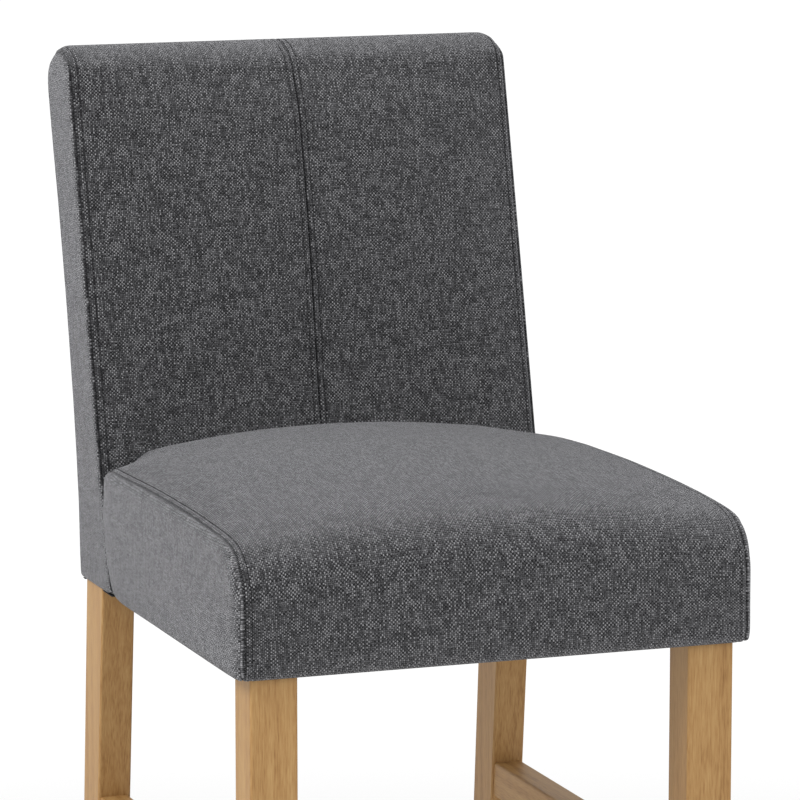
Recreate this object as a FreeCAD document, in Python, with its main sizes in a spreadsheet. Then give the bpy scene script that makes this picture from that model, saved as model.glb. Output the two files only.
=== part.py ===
import FreeCAD, Part
import math
import os
import Sketcher

# Bar stool: an upholstered seat and a raked, upholstered back on four wooden legs.
# X runs across the stool, Y from its front to its back, Z up from the floor, in millimetres.
# The origin is on the floor, under the middle of the stool.

# Driving dimensions: name, value, what it measures
SIZES = [
    ("origin_setback", 293.7, "origin behind the seat's front face, half of the stool's depth"),
    ("seat_width", 440, "seat cover, side to side"),
    ("seat_underside", 610, "seat's underside above the floor"),
    ("seat_side_height", 110, "side seam above the underside, where the seat is fullest"),
    ("seat_front_drop", 14, "fall of the seat from there to its front edge"),
    ("seat_rear_drop", 7, "fall of the seat from there to the back"),
    ("seat_crown", 20, "rise of the crown over the side seams"),
    ("seat_fullest", 240, "fullest line of the seat behind its front face"),
    ("seat_front_round", 30, "radius of the rolled front edge"),
    ("seat_bottom_round", 7, "radius of the lower front edge"),
    ("seat_rear_corner", 16, "fall of the seat's side panels from the back at their rear edge"),
    ("seat_hem", 28, "cover turned in under the seat"),
    ("back_side_inset", 16, "back in from the seat's sides"),
    ("back_setback", 413.5, "back's front face behind the seat's front, at the underside"),
    ("back_rake", 13.9, "lean of the back, in degrees"),
    ("back_height", 454, "top of the back above the seat's underside"),
    ("back_drop", 10, "foot of the back below the seat's underside"),
    ("back_top_thickness", 74, "back from front to rear at its top, level"),
    ("back_waist_thickness", 68.5, "back from front to rear at its thinnest, level"),
    ("back_foot_thickness", 92, "back from front to rear at the seat's underside, level"),
    ("back_waist_height", 262, "thinnest line of the back above the seat's underside"),
    ("back_corner_round", 32, "radius of the back's two top corners"),
    ("back_top_round", 34, "radius of the back's top edges"),
    ("back_foot_round", 12, "radius of the back's rear foot edge"),
    ("seam_inset", 4, "side seams in from the cover's sides, and the bevel of the side panels"),
    ("seam_width", 3, "sewn channel down the middle of the back"),
    ("seam_depth", 0.8, "sewn channel down the middle of the back"),
    ("cover_thickness", 1.5, "upholstery cloth with its lining"),
    ("soft_clearance", 0.3, "room between upholstery and its neighbours"),
    ("front_leg_side", 40, "square section of the front legs"),
    ("front_leg_inset", 11, "front legs in from the seat's front and sides"),
    ("leg_edge_round", 2, "eased edges of legs and stretchers"),
    ("post_width", 30, "rear posts, across the stool"),
    ("post_setback", 77, "rear face of the posts behind the back's front face, at the underside"),
    ("post_seat_depth", 49, "rear posts, front to rear at the seat's underside"),
    ("post_foot_depth", 37.5, "rear posts, front to rear at the foot"),
    ("post_top_depth", 37, "rear posts, front to rear behind the back, level"),
    ("post_splay", 4.7, "backward lean of the rear legs' rear faces, in degrees"),
    ("post_bend_round", 150, "radius of the bend in the rear posts"),
    ("post_top_bevel", 10, "corners sawn off the tops of the posts, under the back's rounded corners"),
    ("rail_thickness", 22, "seat and back rails"),
    ("rail_height", 70, "seat rails"),
    ("deck_thickness", 12, "plywood deck of the seat"),
    ("dust_cover_thickness", 1, "dust cover under the seat and the back"),
    ("rear_rail_gap", 4, "seat's rear rail in front of the back, at the underside"),
    ("block_leg", 45, "corner blocks along each rail"),
    ("block_height", 30, "corner blocks"),
    ("back_foam", 20, "foam in front of the back's board"),
    ("board_thickness", 4, "plywood board of the back"),
    ("board_margin", 6, "board in from the posts' outer faces"),
    ("back_rail_height", 50, "rails of the back"),
    ("stretcher_width", 26, "stretchers, thickness"),
    ("stretcher_height", 32, "side and rear stretchers"),
    ("side_stretcher_top", 405, "top of the side stretchers above the floor"),
    ("footrest_top", 285, "top of the footrest and the rear stretcher above the floor"),
    ("footrest_height", 38, "footrest rail"),
    ("footrest_round", 6, "worn-smooth upper edges of the footrest"),
    ("tenon_thickness", 10, "tenons of the stretchers"),
    ("tenon_shoulder", 6, "stretcher above and below its tenon"),
    ("tenon_length", 20, "tenons of the stretchers, into the front and side of a leg"),
    ("post_tenon_length", 16, "tenons of the rear stretcher, into the posts' sides"),
    ("joint_clearance", 0.2, "room around tenons and screws"),
    ("loose_tenon_thickness", 8, "loose tenons in the frames"),
    ("seat_tenon_height", 40, "loose tenons of the seat frame"),
    ("back_tenon_height", 26, "loose tenons of the back frame"),
    ("loose_tenon_half", 18, "depth of a loose tenon in each of its two pieces"),
    ("short_tenon_half", 14, "the same where it enters a thin piece"),
    ("screw_radius", 2, "shanks of the wood screws"),
    ("screw_head_radius", 4, "heads of the wood screws"),
    ("screw_head_height", 3, "heads of the wood screws"),
    ("screw_bite", 8, "seat screws into the deck"),
    ("screw_inset", 15, "seat screws from the two rails of their corner block"),
    ("glide_radius", 12, "foot glides"),
    ("glide_rest_radius", 9, "flat underside of a foot glide"),
    ("glide_height", 5, "foot glides below the legs"),
    ("glide_pin_radius", 2, "nail of a foot glide"),
    ("glide_pin_length", 16, "nail of a foot glide"),
]

doc = FreeCAD.newDocument("bar_stool")
sheet = doc.addObject("Spreadsheet::Sheet", "sizes")
for row, (alias, amount, note) in enumerate(SIZES, start=1):
    sheet.set("A%d" % row, note)
    sheet.set("B%d" % row, str(amount))
    sheet.setAlias("B%d" % row, alias)
doc.recompute()


class Size:
    """A length worked out from the sheet: its value now, and the formula that keeps it up to date."""

    def __init__(self, value, formula):
        self.value = value
        self.formula = formula

    def __add__(self, other):
        other = as_size(other)
        return Size(self.value + other.value, "(%s + %s)" % (self.formula, other.formula))

    def __sub__(self, other):
        other = as_size(other)
        return Size(self.value - other.value, "(%s - %s)" % (self.formula, other.formula))

    def __mul__(self, other):
        other = as_size(other)
        return Size(self.value * other.value, "(%s * %s)" % (self.formula, other.formula))

    def __truediv__(self, other):
        other = as_size(other)
        return Size(self.value / other.value, "(%s / %s)" % (self.formula, other.formula))

    def __neg__(self):
        return Size(-self.value, "(-1 * %s)" % self.formula)


def as_size(amount):
    if isinstance(amount, Size):
        return amount
    return Size(float(amount), repr(float(amount)))


def size(alias):
    return Size(float(getattr(sheet, alias)), "sizes.%s" % alias)


def tangent(angle):
    return Size(math.tan(math.radians(angle.value)), "tan(%s * 1 deg)" % angle.formula)


def cosine(angle):
    return Size(math.cos(math.radians(angle.value)), "cos(%s * 1 deg)" % angle.formula)


ZERO = as_size(0)
LEFT, RIGHT = -1, 1
SIDES = (("left", LEFT), ("right", RIGHT))
REACH = size("seat_width") * 2
FULL_TURN = 360
CROWN_SWEEP = FULL_TURN / 4

nodes = []


def keep(obj, label):
    """Hand this object in as the sub-part of that name."""
    obj.Label = label
    nodes.append(obj)
    return obj


def set_on_floor(obj):
    """Models are drawn from the seat's front face, and stand around the origin."""
    obj.setExpression("Placement.Base.y", "-sizes.origin_setback")


def new_body(name):
    body = doc.addObject("PartDesign::Body", name)
    set_on_floor(body)
    return body


def new_sketch(body, role, offset, lift=None):
    plane = [feature for feature in body.Origin.OriginFeatures if feature.Role == role][0]
    sketch = body.newObject("Sketcher::SketchObject", body.Name + "_outline")
    sketch.AttachmentSupport = (plane, [""])
    sketch.MapMode = "FlatFace"
    sketch.setExpression("AttachmentOffset.Base.z", offset.formula)
    if lift:
        sketch.setExpression("AttachmentOffset.Base.y", lift.formula)
    return sketch


def bind_point(sketch, geometry, place):
    """Hold a point of a sketch at two lengths from the sketch's origin."""
    for kind, length in zip(("DistanceX", "DistanceY"), place):
        index = sketch.addConstraint(Sketcher.Constraint(kind, -1, 1, geometry, 1, length.value))
        sketch.setExpression("Constraints[%d]" % index, length.formula)


def flat_point(place):
    return FreeCAD.Vector(place[0].value, place[1].value, 0)


def outline(body, role, offset, corners, arcs=None, lift=None):
    """A closed outline through its corners; arcs gives the point that a rounded side passes through.

    The outline is measured from the sketch's own origin, which lift raises above the floor."""
    sketch = new_sketch(body, role, offset, lift)
    arcs = arcs or {}
    points = []
    for corner in corners:
        point = sketch.addGeometry(Part.Point(flat_point(corner)), True)
        bind_point(sketch, point, corner)
        points.append(point)
    for index, corner in enumerate(corners):
        following = (index + 1) % len(corners)
        ends = (flat_point(corner), flat_point(corners[following]))
        if index in arcs:
            through = sketch.addGeometry(Part.Point(flat_point(arcs[index])), True)
            bind_point(sketch, through, arcs[index])
            side = sketch.addGeometry(Part.Arc(ends[0], flat_point(arcs[index]), ends[1]), False)
            sketch.addConstraint(Sketcher.Constraint("PointOnObject", through, 1, side))
        else:
            side = sketch.addGeometry(Part.LineSegment(*ends), False)
        starts_here = sketch.getPoint(side, 1).distanceToPoint(ends[0]) < 1e-6
        first, last = (1, 2) if starts_here else (2, 1)
        sketch.addConstraint(Sketcher.Constraint("Coincident", side, first, points[index], 1))
        sketch.addConstraint(Sketcher.Constraint("Coincident", side, last, points[following], 1))
    return sketch


def circles(body, role, offset, centres, radius):
    sketch = new_sketch(body, role, offset)
    for centre in centres:
        ring = sketch.addGeometry(
            Part.Circle(flat_point(centre), FreeCAD.Vector(0, 0, 1), radius.value), False)
        index = sketch.addConstraint(Sketcher.Constraint("Radius", ring, radius.value))
        sketch.setExpression("Constraints[%d]" % index, radius.formula)
        for kind, length in zip(("DistanceX", "DistanceY"), centre):
            index = sketch.addConstraint(Sketcher.Constraint(kind, -1, 1, ring, 3, length.value))
            sketch.setExpression("Constraints[%d]" % index, length.formula)
    return sketch


def add_pad(body, sketch, length):
    """Thicken an outline by the same amount to both sides of its plane."""
    pad = body.newObject("PartDesign::Pad", body.Name + "_pad")
    pad.Profile = sketch
    pad.SideType = "Symmetric"
    pad.setExpression("Length", length.formula)
    doc.recompute()
    return pad


def add_pocket(body, sketch, length):
    """Cut an outline out of a body, by the same amount to both sides of its plane."""
    before = body.Shape.Volume
    pocket = body.newObject("PartDesign::Pocket", body.Name + "_pocket")
    pocket.Profile = sketch
    pocket.SideType = "Symmetric"
    pocket.setExpression("Length", length.formula)
    doc.recompute()
    if body.Shape.Volume > before - 1e-3:
        raise RuntimeError("%s: a pocket cut nothing" % body.Name)
    return pocket


def add_revolution(body, sketch, axis, angle):
    """Turn an outline about an axis of its sketch, by half of the angle to each side."""
    turned = body.newObject("PartDesign::Revolution", body.Name + "_turned")
    turned.Profile = sketch
    turned.ReferenceAxis = (sketch, [axis])
    turned.Midplane = True
    turned.Angle = angle
    doc.recompute()


def dress_edges(body, kind, property_name, wanted, amount):
    names = ["Edge%d" % number for number, edge in enumerate(body.Shape.Edges, start=1) if wanted(edge)]
    if not names:
        raise RuntimeError("%s: no edge to dress" % body.Name)
    base = body.Tip
    dressed = body.newObject("PartDesign::" + kind, "%s_%s" % (body.Name, kind.lower()))
    dressed.Base = (base, names)
    dressed.setExpression(property_name, amount.formula)
    doc.recompute()
    if not dressed.isValid():
        raise RuntimeError("%s: %s failed" % (body.Name, kind))


def round_edges(body, wanted, radius):
    """Round the edges of a body for which wanted says yes."""
    dress_edges(body, "Fillet", "Radius", wanted, radius)


def bevel_edges(body, wanted, width):
    """Saw the edges off for which wanted says yes."""
    dress_edges(body, "Chamfer", "Size", wanted, width)


def edge_middle(edge):
    middle = edge.BoundBox.Center
    return FreeCAD.Vector(middle.x, middle.y + size("origin_setback").value, middle.z)


def near(amount, length):
    return abs(amount - length.value) < 0.05


def slab(name, corners, middle, width, arcs=None):
    """A piece sawn to an outline in the side view, with its thickness across the stool."""
    body = new_body(name)
    add_pad(body, outline(body, "YZ_Plane", middle, corners, arcs), width)
    return body


def rectangle(left, right, bottom, top):
    return [(left, bottom), (right, bottom), (right, top), (left, top)]


def box(name, x_range, y_range, z_range):
    """A block between two lengths on each axis, as a tool for cutting."""
    block = doc.addObject("Part::Box", name)
    spans = (("Length", x_range), ("Width", y_range), ("Height", z_range))
    for property_name, (low, high) in spans:
        block.setExpression(property_name, (high - low).formula)
    block.setExpression("Placement.Base.x", x_range[0].formula)
    block.setExpression("Placement.Base.y", (y_range[0] - size("origin_setback")).formula)
    block.setExpression("Placement.Base.z", z_range[0].formula)
    return block


def combine(kind, name, base, tool):
    result = doc.addObject("Part::" + kind, name)
    result.Base = base
    result.Tool = tool
    return result


def cut_away(name, base, tools):
    for number, tool in enumerate(tools, start=1):
        base = combine("Cut", "%s_%d" % (name, number), base, tool)
    return base


# Lengths that several pieces share
underside = size("seat_underside")
cloth = size("cover_thickness")
room = size("soft_clearance")
fit = size("joint_clearance")
half_seat = size("seat_width") / 2
half_back = half_seat - size("back_side_inset")
lean = tangent(size("back_rake"))
level = cosine(size("back_rake"))

rail_bottom = underside + cloth
rail_top = rail_bottom + size("rail_height")
deck_top = rail_top + size("deck_thickness")
rail_middle = rail_bottom + size("rail_height") / 2

leg_front = size("front_leg_inset")
leg_rear = leg_front + size("front_leg_side")
leg_outer = half_seat - size("front_leg_inset")
leg_inner = leg_outer - size("front_leg_side")
leg_middle_x = (leg_outer + leg_inner) / 2
leg_middle_y = (leg_front + leg_rear) / 2

post_outer = half_back - cloth - fit
post_inner = post_outer - size("post_width")
post_middle_x = (post_outer + post_inner) / 2
frame_depth = cloth + size("back_foam") + size("board_thickness")

rail_outer = post_outer
rail_inner = rail_outer - size("rail_thickness")
rail_middle_x = (rail_outer + rail_inner) / 2
rear_rail_rear = size("back_setback") - size("rear_rail_gap")
rear_rail_front = rear_rail_rear - size("rail_thickness")

post_rear = size("back_setback") + size("post_setback")
leg_fall = underside - size("glide_height")
post_rear_slope = tangent(size("post_splay"))
post_taper = (size("post_seat_depth") - size("post_foot_depth")) / leg_fall
post_front_slope = post_rear_slope + post_taper
post_top = size("back_height") - size("back_corner_round") + size("post_top_bevel")


def back_face(height, depth):
    """Y of the plane that lies so deep behind the back's front face, at a height above the underside."""
    return size("back_setback") + height * lean + depth / level


def leg_front_face(height):
    """Y of a rear leg's front face, at a height above the seat's underside."""
    return post_rear - size("post_seat_depth") - height * post_front_slope


def leg_rear_face(height):
    return post_rear - height * post_rear_slope


# Legs
def front_leg(name, side):
    body = slab(name, rectangle(leg_front, leg_rear, size("glide_height"), rail_top),
                leg_middle_x * side, size("front_leg_side"))
    round_edges(body, lambda edge: edge.BoundBox.ZLength > leg_fall.value, size("leg_edge_round"))
    return keep(body, name)


def rear_post(name, side):
    bend_front = (leg_front_face(ZERO) - back_face(ZERO, frame_depth)) / (lean + post_front_slope)
    upper_rear = back_face(ZERO, frame_depth) + size("post_top_depth")
    bend_rear = (leg_rear_face(ZERO) - upper_rear) / (lean + post_rear_slope)
    foot = size("glide_height") - underside
    top = post_top
    side_view = [
        (leg_rear_face(foot), underside + foot),
        (leg_front_face(foot), underside + foot),
        (leg_front_face(bend_front), underside + bend_front),
        (back_face(top, frame_depth), underside + top),
        (upper_rear + top * lean, underside + top),
        (leg_rear_face(bend_rear), underside + bend_rear),
    ]
    body = slab(name, side_view, post_middle_x * side, size("post_width"))

    def is_bend(edge):
        middle = edge_middle(edge)
        at_bend = near(middle.z, underside + bend_front) or near(middle.z, underside + bend_rear)
        return at_bend and edge.BoundBox.XLength > size("post_width").value / 2

    def is_top_corner(edge):
        middle = edge_middle(edge)
        return near(middle.z, underside + top) and near(middle.x, post_outer * side)

    def is_leg_arris(edge):
        middle = edge_middle(edge)
        return middle.z < underside.value and edge.BoundBox.ZLength > leg_fall.value / 2

    round_edges(body, is_bend, size("post_bend_round"))
    bevel_edges(body, is_top_corner, size("post_top_bevel"))
    round_edges(body, is_leg_arris, size("leg_edge_round"))
    return keep(body, name)


front_legs = {}
posts = {}
for word, side in SIDES:
    front_legs[side] = front_leg("front_leg_" + word, side)
    posts[side] = rear_post("rear_post_" + word, side)


# Stretchers, with a tenon at each end
def mortise(body, corners, middle, width):
    """Cut the room for a tenon, whose side view is a rectangle of the given corners."""
    add_pocket(body, outline(body, "YZ_Plane", middle, corners), width)


def cross_stretcher(name, legs, inner, middle_y, top, height, tenon_length, edge_round):
    """A stretcher from the left to the right, between the inner faces of two legs."""
    bottom = top - height
    half_width = size("stretcher_width") / 2
    half_tenon = size("tenon_thickness") / 2
    shoulder = size("tenon_shoulder")
    side_view = rectangle(middle_y - half_width, middle_y + half_width, bottom, top)
    body = slab(name, side_view, ZERO, inner * 2)

    def is_long_top_edge(edge):
        return near(edge_middle(edge).z, top) and edge.BoundBox.XLength > inner.value

    round_edges(body, is_long_top_edge, edge_round)
    tenon = rectangle(middle_y - half_tenon, middle_y + half_tenon, bottom + shoulder, top - shoulder)
    add_pad(body, outline(body, "YZ_Plane", ZERO, tenon), (inner + tenon_length) * 2)
    hole = rectangle(middle_y - half_tenon - fit, middle_y + half_tenon + fit,
                     bottom + shoulder - fit, top - shoulder + fit)
    for side, leg in legs.items():
        mortise(leg, hole, inner * side, (tenon_length + fit) * 2)
    return keep(body, name)


footrest_middle = size("footrest_top") - size("stretcher_height") / 2 - underside
post_middle_y = (leg_front_face(footrest_middle) + leg_rear_face(footrest_middle)) / 2
cross_stretcher("footrest_rail", front_legs, leg_inner, leg_middle_y, size("footrest_top"),
                size("footrest_height"), size("tenon_length"), size("footrest_round"))
cross_stretcher("rear_stretcher", posts, post_inner, post_middle_y, size("footrest_top"),
                size("stretcher_height"), size("post_tenon_length"), size("leg_edge_round"))


def side_stretcher(name, side):
    """A stretcher from a front leg to a rear leg, its rear shoulder cut to the leg's lean."""
    top = size("side_stretcher_top")
    bottom = top - size("stretcher_height")
    shoulder = size("tenon_shoulder")

    def side_view(start, past_leg, low, high):
        return [(start, low), (leg_front_face(low - underside) + past_leg, low),
                (leg_front_face(high - underside) + past_leg, high), (start, high)]

    middle = post_middle_x * side
    body = slab(name, side_view(leg_rear, ZERO, bottom, top), middle, size("stretcher_width"))

    def is_long_edge(edge):
        return edge.BoundBox.YLength > leg_rear.value * 2

    round_edges(body, is_long_edge, size("leg_edge_round"))
    tenon_start = leg_rear - size("tenon_length")
    tenon = side_view(tenon_start, size("tenon_length"), bottom + shoulder, top - shoulder)
    add_pad(body, outline(body, "YZ_Plane", middle, tenon), size("tenon_thickness"))
    hole = side_view(tenon_start - fit, size("tenon_length") + fit,
                     bottom + shoulder - fit, top - shoulder + fit)
    for leg in (front_legs[side], posts[side]):
        mortise(leg, hole, middle, size("tenon_thickness") + fit * 2)
    return keep(body, name)


for word, side in SIDES:
    side_stretcher("side_stretcher_" + word, side)

# Seat frame
seat_front_rail = keep(slab("seat_front_rail",
                            rectangle(leg_front, leg_front + size("rail_thickness"), rail_bottom, rail_top),
                            ZERO, leg_inner * 2), "seat_front_rail")
seat_rear_rail = keep(slab("seat_rear_rail",
                           rectangle(rear_rail_front, rear_rail_rear, rail_bottom, rail_top),
                           ZERO, rail_inner * 2), "seat_rear_rail")
side_rails = {}
for word, side in SIDES:
    rail_view = [(leg_rear, rail_bottom),
                 (back_face(rail_bottom - underside, frame_depth), rail_bottom),
                 (back_face(rail_top - underside, frame_depth), rail_top),
                 (leg_rear, rail_top)]
    label = "seat_side_rail_" + word
    side_rails[side] = keep(slab(label, rail_view, rail_middle_x * side, size("rail_thickness")), label)

block_bottom = rail_top - size("block_height")
block_middle_z = (block_bottom + rail_top) / 2
front_rail_rear = leg_front + size("rail_thickness")


def corner_block(name, plan):
    body = new_body(name)
    add_pad(body, outline(body, "XY_Plane", block_middle_z, plan), size("block_height"))
    return keep(body, name)


corner_blocks = {}
for word, side in SIDES:
    front_plan = [((leg_inner - size("block_leg")) * side, front_rail_rear),
                  (leg_inner * side, front_rail_rear),
                  (leg_inner * side, leg_rear),
                  (rail_inner * side, leg_rear),
                  (rail_inner * side, leg_rear + size("block_leg"))]
    rear_plan = [((rail_inner - size("block_leg")) * side, rear_rail_front),
                 (rail_inner * side, rear_rail_front),
                 (rail_inner * side, rear_rail_front - size("block_leg"))]
    corner_blocks["front", side] = corner_block("corner_block_front_" + word, front_plan)
    corner_blocks["rear", side] = corner_block("corner_block_rear_" + word, rear_plan)

seat_deck = keep(slab("seat_deck", rectangle(leg_front, rear_rail_rear, rail_top, deck_top),
                      ZERO, rail_outer * 2), "seat_deck")


# Back frame: two rails between the posts, and a board on the front of them
def back_rail(name, low):
    high = low + size("back_rail_height")
    front = frame_depth
    rear = frame_depth + size("rail_thickness")
    side_view = [(back_face(low, front), underside + low), (back_face(low, rear), underside + low),
                 (back_face(high, rear), underside + high), (back_face(high, front), underside + high)]
    return keep(slab(name, side_view, ZERO, post_inner * 2), name)


board_low = rail_top - underside + room
board_high = post_top - size("post_top_bevel")
top_rail_low = post_top - size("back_rail_height")
lower_rail_low = rail_bottom - underside
back_rails = {"top": back_rail("back_top_rail", top_rail_low),
              "lower": back_rail("back_lower_rail", lower_rail_low)}
board_front = frame_depth - size("board_thickness")
board_view = [(back_face(board_low, board_front), underside + board_low),
              (back_face(board_low, frame_depth), underside + board_low),
              (back_face(board_high, frame_depth), underside + board_high),
              (back_face(board_high, board_front), underside + board_high)]
board_width = (post_outer - size("board_margin")) * 2
keep(slab("back_board", board_view, ZERO, board_width), "back_board")


# Loose tenons: one in each joint of the two frames, with a mortise in both of the pieces that meet there
def across(centre, half):
    return (centre - half, centre + half)


def loose_tenon(name, axis, face, centre, height, half, pieces):
    """A loose tenon along X or Y, through the plane where two pieces meet."""
    half_thickness = size("loose_tenon_thickness") / 2
    flat_range = across(centre[0], half_thickness)
    upright_range = across(centre[1], height / 2)
    long_range = across(face, half)
    if axis == "X":
        tenon = box(name, long_range, flat_range, upright_range)
        role, offset = "YZ_Plane", face
    else:
        tenon = box(name, flat_range, long_range, upright_range)
        role, offset = "XZ_Plane", -face
    hole = rectangle(flat_range[0] - fit, flat_range[1] + fit,
                     upright_range[0] - fit, upright_range[1] + fit)
    for piece in pieces:
        add_pocket(piece, outline(piece, role, offset, hole), (half + fit) * 2)
    return tenon


seat_tenons = []
back_tenons = []
front_rail_middle = leg_front + size("rail_thickness") / 2
rear_rail_middle = rear_rail_rear - size("rail_thickness") / 2
post_joint = back_face(rail_middle - underside, frame_depth)
long_half = size("loose_tenon_half")
short_half = size("short_tenon_half")
for word, side in SIDES:
    seat_joints = (
        ("front_rail", "X", leg_inner * side, (front_rail_middle, rail_middle), long_half,
         (seat_front_rail, front_legs[side])),
        ("rear_rail", "X", rail_inner * side, (rear_rail_middle, rail_middle), short_half,
         (seat_rear_rail, side_rails[side])),
        ("side_rail_front", "Y", leg_rear, (rail_middle_x * side, rail_middle), long_half,
         (side_rails[side], front_legs[side])),
        ("side_rail_rear", "Y", post_joint, (rail_middle_x * side, rail_middle), long_half,
         (side_rails[side], posts[side])),
    )
    for joint, axis, face, centre, half, pieces in seat_joints:
        label = "%s_tenon_%s" % (joint, word)
        seat_tenons.append(loose_tenon(label, axis, face, centre, size("seat_tenon_height"), half, pieces))
    for rail_word, low in (("top", top_rail_low), ("lower", lower_rail_low)):
        middle = low + size("back_rail_height") / 2
        centre = (back_face(middle, frame_depth + size("rail_thickness") / 2), underside + middle)
        label = "back_%s_rail_tenon_%s" % (rail_word, word)
        pieces = (back_rails[rail_word], posts[side])
        back_tenons.append(loose_tenon(label, "X", post_inner * side, centre,
                                       size("back_tenon_height"), short_half, pieces))


def group(name, members):
    bundle = doc.addObject("Part::Compound", name)
    bundle.Links = members
    return keep(bundle, name)


group("seat_frame_tenons", seat_tenons)
group("back_frame_tenons", back_tenons)


# Seat screws: up through each corner block into the deck
def upright_cylinder(name, centre, bottom, radius, height):
    bar = doc.addObject("Part::Cylinder", name)
    bar.setExpression("Radius", radius.formula)
    bar.setExpression("Height", height.formula)
    bar.setExpression("Placement.Base.x", centre[0].formula)
    bar.setExpression("Placement.Base.y", (centre[1] - size("origin_setback")).formula)
    bar.setExpression("Placement.Base.z", bottom.formula)
    return bar


def seat_screw(name, centre, block):
    shank_length = size("block_height") + size("screw_bite")
    head_height = size("screw_head_height")
    whole = doc.addObject("Part::MultiFuse", name)
    whole.Shapes = [
        upright_cylinder(name + "_shank", centre, block_bottom, size("screw_radius"), shank_length),
        upright_cylinder(name + "_head", centre, block_bottom - head_height, size("screw_head_radius"),
                         head_height),
    ]
    for piece in (block, seat_deck):
        hole = circles(piece, "XY_Plane", block_bottom, [centre], size("screw_radius") + fit)
        add_pocket(piece, hole, (shank_length + fit) * 2)
    return whole


seat_screws = []
for word, side in SIDES:
    screw_x = (rail_inner - size("screw_inset")) * side
    screw_rows = {"front": leg_rear + size("screw_inset"), "rear": rear_rail_front - size("screw_inset")}
    for end, setback in screw_rows.items():
        block = corner_blocks[end, side]
        seat_screws.append(seat_screw("seat_screw_%s_%s" % (end, word), (screw_x, setback), block))
group("seat_screws", seat_screws)


# Foot glides, each on a nail in the end of its leg
def glide(name, leg, x, y):
    body = doc.addObject("PartDesign::Body", name)
    body.setExpression("Placement.Base.x", x.formula)
    body.setExpression("Placement.Base.y", (y - size("origin_setback")).formula)
    top = size("glide_height")
    nail_top = top + size("glide_pin_length")
    half_section = [(ZERO, ZERO), (size("glide_rest_radius"), ZERO), (size("glide_radius"), top / 2),
                    (size("glide_radius"), top), (size("glide_pin_radius"), top),
                    (size("glide_pin_radius"), nail_top), (ZERO, nail_top)]
    sketch = outline(body, "XZ_Plane", ZERO, half_section)
    add_revolution(body, sketch, "V_Axis", FULL_TURN)
    hole = circles(leg, "XY_Plane", top, [(x, y)], size("glide_pin_radius") + fit)
    add_pocket(leg, hole, (size("glide_pin_length") + fit) * 2)
    return body


foot = size("glide_height") - underside
foot_middle_y = (leg_front_face(foot) + leg_rear_face(foot)) / 2
glides = []
for word, side in SIDES:
    glides.append(glide("glide_front_" + word, front_legs[side], leg_middle_x * side, leg_middle_y))
    glides.append(glide("glide_rear_" + word, posts[side], post_middle_x * side, foot_middle_y))
group("foot_glides", glides)


# Seat upholstery: a crowned middle between the side seams, and a bevelled panel on each side
def corner_arc(corner, radius, toward):
    """The middle of a round corner, from the corner's point and the way to the round's centre."""
    share = 1 - math.sqrt(0.5)
    return (corner[0] + radius * share * toward[0], corner[1] + radius * share * toward[1])


def seat_rear(height, depth):
    """Y of the seat's rear face, so deep inside its cover, at a height above the floor."""
    return back_face(height - underside, -(room + depth))


def seat_top(depth):
    """Heights of a side seam at the front, where the seat is fullest and at the back."""
    fullest = underside + size("seat_side_height") - depth
    return fullest - size("seat_front_drop"), fullest, fullest - size("seat_rear_drop")


seam_x = half_seat - size("seam_inset")


def seat_middle(name, inset):
    """The seat between its side seams: a side view turned about an axis far below, cut off flat below."""
    front_round = size("seat_front_round") - inset
    bottom_round = size("seat_bottom_round") - inset
    rise = size("seat_crown")
    crown_radius = (seam_x * seam_x + rise * rise) / (rise * 2)
    crown_tops = [height + rise for height in seat_top(inset)]
    axis_height = crown_tops[1] - crown_radius
    front_top, fullest, rear_top = [height - axis_height for height in crown_tops]
    deep = crown_radius / 2
    far_rear = back_face(size("seat_side_height") + rise * 2, ZERO)
    crown_view = [(inset, deep), (inset, front_top - front_round), (inset + front_round, front_top),
                  (far_rear, rear_top), (far_rear, deep)]
    crown_arcs = {1: corner_arc((inset, front_top), front_round, (1, -1)),
                  2: (size("seat_fullest"), fullest)}
    crown = new_body(name + "_crown")
    crown_sketch = outline(crown, "YZ_Plane", ZERO, crown_view, crown_arcs, axis_height)
    add_revolution(crown, crown_sketch, "H_Axis", CROWN_SWEEP)

    low = underside + inset
    high = deck_top + size("seat_side_height")
    block_view = [(inset, low + bottom_round), (inset, high), (seat_rear(high, inset), high),
                  (seat_rear(low, inset), low), (inset + bottom_round, low)]
    block_arcs = {4: corner_arc((inset, low), bottom_round, (1, 1))}
    block = slab(name + "_block", block_view, ZERO, seam_x * 2, block_arcs)
    return combine("Common", name, crown, block)


def seat_side_view(body, offset, inset, depth, rear_fall):
    """The outline of a side panel, drawn so deep inside the seat's own outline."""
    front_round = size("seat_front_round") - inset
    bottom_round = size("seat_bottom_round") - inset
    low = underside + depth
    front_top, fullest, rear_top = seat_top(depth)
    corners = [(depth, low + bottom_round), (depth, front_top - front_round),
               (depth + front_round, front_top), (seat_rear(rear_top, depth) - rear_fall, rear_top),
               (seat_rear(low, depth) - rear_fall, low), (depth + bottom_round, low)]
    arcs = {1: corner_arc((depth, front_top), front_round, (1, -1)),
            2: (size("seat_fullest"), fullest),
            5: corner_arc((depth, low), bottom_round, (1, 1))}
    return outline(body, "YZ_Plane", offset, corners, arcs)


def seat_side(name, side, inset):
    """The seat outside a side seam: it narrows from the seam to the side's flat face."""
    body = new_body(name)
    seam_view = seat_side_view(body, seam_x * side, inset, inset, ZERO)
    edge_view = seat_side_view(body, (half_seat - inset) * side, inset, size("seam_inset"),
                               size("seat_rear_corner"))
    loft = body.newObject("PartDesign::AdditiveLoft", name + "_loft")
    loft.Profile = seam_view
    loft.Sections = [edge_view]
    loft.Ruled = True
    doc.recompute()
    return body


def zone(name, x_range, y_range, z_range, form):
    """The part of a form that lies in a box."""
    return combine("Common", name, form, box(name + "_zone", x_range, y_range, z_range))


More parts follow.
